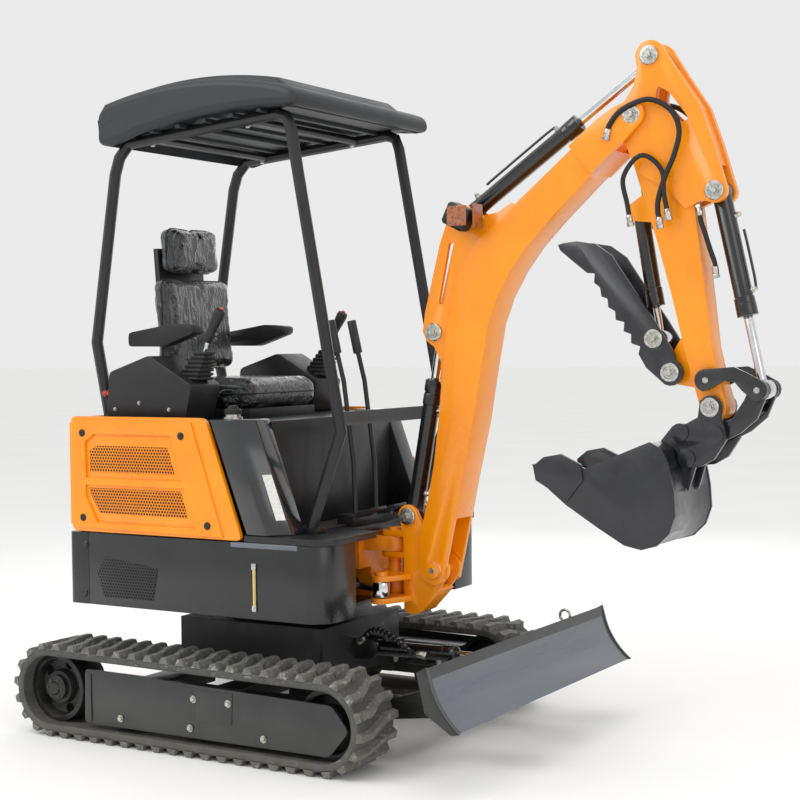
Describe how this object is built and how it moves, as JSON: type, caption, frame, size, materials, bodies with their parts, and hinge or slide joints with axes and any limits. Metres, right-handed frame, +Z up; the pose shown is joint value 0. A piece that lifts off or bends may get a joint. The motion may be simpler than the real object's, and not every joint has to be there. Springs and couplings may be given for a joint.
{
  "type": "mini excavator",
  "caption": "Tracked mini excavator with swing boom, arm, bucket, thumb, dozer blade and an open four-post canopy.",
  "frame": {"origin": "ground point under the middle of the machine's box", "axes": "+X forward towards the blade, +Y to the operator's left, +Z up"},
  "size_m": [2.328, 1.196, 2.0912],
  "materials": {
    "orange_paint": "gloss",
    "black_paint": "satin",
    "dark_grey_paint": "satin",
    "steel_chrome": "polished",
    "track_rubber": "matte",
    "moulded_plastic": "satin",
    "seat_vinyl": "satin"
  },
  "bodies": {
    "undercarriage": {"idler_left": "dark_grey_paint", "idler_right": "dark_grey_paint", "slew_ring": "black_paint", "sprocket_left": "black_paint", "sprocket_right": "black_paint", "track_frame_left": "dark_grey_paint", "track_frame_right": "dark_grey_paint", "track_left": "track_rubber", "track_right": "track_rubber", "undercarriage_frame": "black_paint"},
    "house": {"canopy_frame": "black_paint", "canopy_roof": "moulded_plastic", "counterweight": "dark_grey_paint", "engine_block": "black_paint", "floor_plate": "dark_grey_paint", "headrest": "seat_vinyl", "house_frame": "black_paint", "left_console": "moulded_plastic", "left_cover": "moulded_plastic", "left_joystick": "track_rubber", "left_side_panel": "orange_paint", "left_skirt": "dark_grey_paint", "right_console": "moulded_plastic", "right_cover": "moulded_plastic", "right_joystick": "track_rubber", "right_side_panel": "orange_paint", "right_skirt": "dark_grey_paint", "seat_back": "seat_vinyl", "seat_cushion": "seat_vinyl", "seat_deck": "dark_grey_paint", "seat_frame": "black_paint", "swing_post": "orange_paint", "travel_levers": "black_paint"},
    "blade": {"dozer_blade": "dark_grey_paint"},
    "blade_cylinder_barrel": {"blade_cylinder_barrel": "black_paint"},
    "blade_cylinder_rod": {"blade_cylinder_rod": "steel_chrome"},
    "engine_door": {"engine_door": "orange_paint"},
    "swing_bracket": {"swing_bracket": "orange_paint"},
    "swing_cylinder_barrel": {"swing_cylinder_barrel": "black_paint"},
    "swing_cylinder_rod": {"swing_cylinder_rod": "steel_chrome"},
    "boom": {"boom": "orange_paint", "work_light": "black_paint"},
    "boom_cylinder_barrel": {"boom_cylinder_barrel": "black_paint"},
    "boom_cylinder_rod": {"boom_cylinder_rod": "steel_chrome"},
    "arm": {"arm": "orange_paint"},
    "arm_cylinder_barrel": {"arm_cylinder_barrel": "black_paint"},
    "arm_cylinder_rod": {"arm_cylinder_rod": "steel_chrome"},
    "bucket_cylinder_barrel": {"bucket_cylinder_barrel": "black_paint"},
    "bucket_cylinder_rod": {"bucket_cylinder_rod": "steel_chrome"},
    "bucket_rocker": {"bucket_rocker": "black_paint"},
    "bucket_link": {"bucket_link": "black_paint"},
    "bucket": {"quick_hitch": "black_paint", "bucket": "black_paint"},
    "thumb": {"thumb": "black_paint"},
    "thumb_cylinder_barrel": {"thumb_cylinder_barrel": "black_paint"},
    "thumb_cylinder_rod": {"thumb_cylinder_rod": "steel_chrome"}
  },
  "joints": [
    {"name": "slew", "type": "hinge", "parent": "undercarriage", "child": "house", "pos_m": [-0.4828, 0, 0.4], "axis": [0, 0, 1], "continuous": true},
    {"name": "engine_door_hinge", "type": "hinge", "parent": "house", "child": "engine_door", "pos_m": [-1.0278, 0.431, 0.83], "axis": [0, 0, -1], "range_deg": [0, 85]},
    {"name": "boom_swing", "type": "hinge", "parent": "house", "child": "swing_bracket", "pos_m": [-0.0728, 0, 0.54], "axis": [0, 0, 1], "range_deg": [-55, 55]},
    {"name": "swing_cylinder_pivot", "type": "hinge", "parent": "house", "child": "swing_cylinder_barrel", "pos_m": [-0.4528, 0.015, 0.475], "axis": [0, 0, 1], "range_deg": [-9.34, 9.34]},
    {"name": "swing_cylinder_stroke", "type": "slide", "parent": "swing_cylinder_barrel", "child": "swing_cylinder_rod", "axis": [0.9415, -0.3371, 0], "range_m": [-0.10686, 0.10686]},
    {"name": "boom_lift", "type": "hinge", "parent": "swing_bracket", "child": "boom", "pos_m": [0.0992, 0, 0.534], "axis": [0, -1, 0], "range_deg": [-70, 8]},
    {"name": "boom_cylinder_pivot", "type": "hinge", "parent": "swing_bracket", "child": "boom_cylinder_barrel", "pos_m": [0.0007, 0, 0.697], "axis": [0, -1, 0], "range_deg": [-78.58, 10.75]},
    {"name": "boom_cylinder_stroke", "type": "slide", "parent": "boom_cylinder_barrel", "child": "boom_cylinder_rod", "axis": [0.1815, 0, 0.9834], "range_m": [-0.02792, 0.21332]},
    {"name": "arm_crowd", "type": "hinge", "parent": "boom", "child": "arm", "pos_m": [0.77089, 0, 1.88415], "axis": [0, 1, 0], "range_deg": [-95, 7]},
    {"name": "arm_cylinder_pivot", "type": "hinge", "parent": "boom", "child": "arm_cylinder_barrel", "pos_m": [0.19245, 0, 1.61947], "axis": [0, -1, 0], "range_deg": [-2.5, 8.77]},
    {"name": "arm_cylinder_stroke", "type": "slide", "parent": "arm_cylinder_barrel", "child": "arm_cylinder_rod", "axis": [0.8267, 0, 0.5626], "range_m": [-0.25166, 0.02225]},
    {"name": "bucket_curl", "type": "hinge", "parent": "arm", "child": "bucket", "pos_m": [1.00099, 0, 1.04876], "axis": [0, 1, 0], "range_deg": [-110, 35]},
    {"name": "bucket_cylinder_pivot", "type": "hinge", "parent": "arm", "child": "bucket_cylinder_barrel", "pos_m": [1.01266, 0, 1.65409], "axis": [0, -1, 0], "range_deg": [-3.4, 2.44]},
    {"name": "bucket_cylinder_stroke", "type": "slide", "parent": "bucket_cylinder_barrel", "child": "bucket_cylinder_rod", "axis": [0.2127, 0, -0.9771], "range_m": [-0.17294, 0.05775]},
    {"name": "rocker_pivot", "type": "hinge", "parent": "arm", "child": "bucket_rocker", "pos_m": [0.98633, 0, 1.12459], "axis": [0, -1, 0], "range_deg": [-23.73, 70.28]},
    {"name": "link_pivot", "type": "hinge", "parent": "bucket_rocker", "child": "bucket_link", "pos_m": [1.13399, 0, 1.09676], "axis": [0, -1, 0], "range_deg": [-20.7, 7.95]},
    {"name": "thumb_open", "type": "hinge", "parent": "arm", "child": "thumb", "pos_m": [0.88076, 0, 1.14634], "axis": [0, 1, 0], "range_deg": [-65, 12]},
    {"name": "thumb_cylinder_pivot", "type": "hinge", "parent": "arm", "child": "thumb_cylinder_barrel", "pos_m": [0.77088, 0, 1.60928], "axis": [0, -1, 0], "range_deg": [-13.58, 4.14]},
    {"name": "thumb_cylinder_stroke", "type": "slide", "parent": "thumb_cylinder_barrel", "child": "thumb_cylinder_rod", "axis": [0.1637, 0, -0.9865], "range_m": [-0.01964, 0.08873]},
    {"name": "blade_lift", "type": "hinge", "parent": "undercarriage", "child": "blade", "pos_m": [-0.1378, 0, 0.17], "axis": [0, -1, 0], "range_deg": [-32, 5]},
    {"name": "blade_cylinder_pivot", "type": "hinge", "parent": "undercarriage", "child": "blade_cylinder_barrel", "pos_m": [-0.1528, 0, 0.262], "axis": [0, -1, 0], "range_deg": [-31.97, 6.68]},
    {"name": "blade_cylinder_stroke", "type": "slide", "parent": "blade_cylinder_barrel", "child": "blade_cylinder_rod", "axis": [0.9999, 0, 0.0126], "range_m": [-0.01158, 0.05254]}
  ],
  "couplings": [
    {"joint": "swing_cylinder_pivot", "follows": "boom_swing", "ratio": 0.13337},
    {"joint": "swing_cylinder_stroke", "follows": "boom_swing", "m_per_rad": 0.10715},
    {"joint": "boom_cylinder_pivot", "follows": "boom_lift", "ratio": 1.0941},
    {"joint": "boom_cylinder_stroke", "follows": "boom_lift", "m_per_rad": -0.17133},
    {"joint": "arm_cylinder_pivot", "follows": "arm_crowd", "ratio": -0.07129},
    {"joint": "arm_cylinder_stroke", "follows": "arm_crowd", "m_per_rad": 0.14937},
    {"joint": "bucket_cylinder_pivot", "follows": "bucket_curl", "ratio": 0.01269},
    {"joint": "bucket_cylinder_stroke", "follows": "bucket_curl", "m_per_rad": 0.087996},
    {"joint": "rocker_pivot", "follows": "bucket_curl", "ratio": -0.62074},
    {"joint": "link_pivot", "follows": "bucket_curl", "ratio": 0.16999},
    {"joint": "thumb_cylinder_pivot", "follows": "thumb_open", "ratio": 0.17811},
    {"joint": "thumb_cylinder_stroke", "follows": "thumb_open", "m_per_rad": -0.074691},
    {"joint": "blade_cylinder_pivot", "follows": "blade_lift", "ratio": 0.93668},
    {"joint": "blade_cylinder_stroke", "follows": "blade_lift", "m_per_rad": -0.086908}
  ]
}
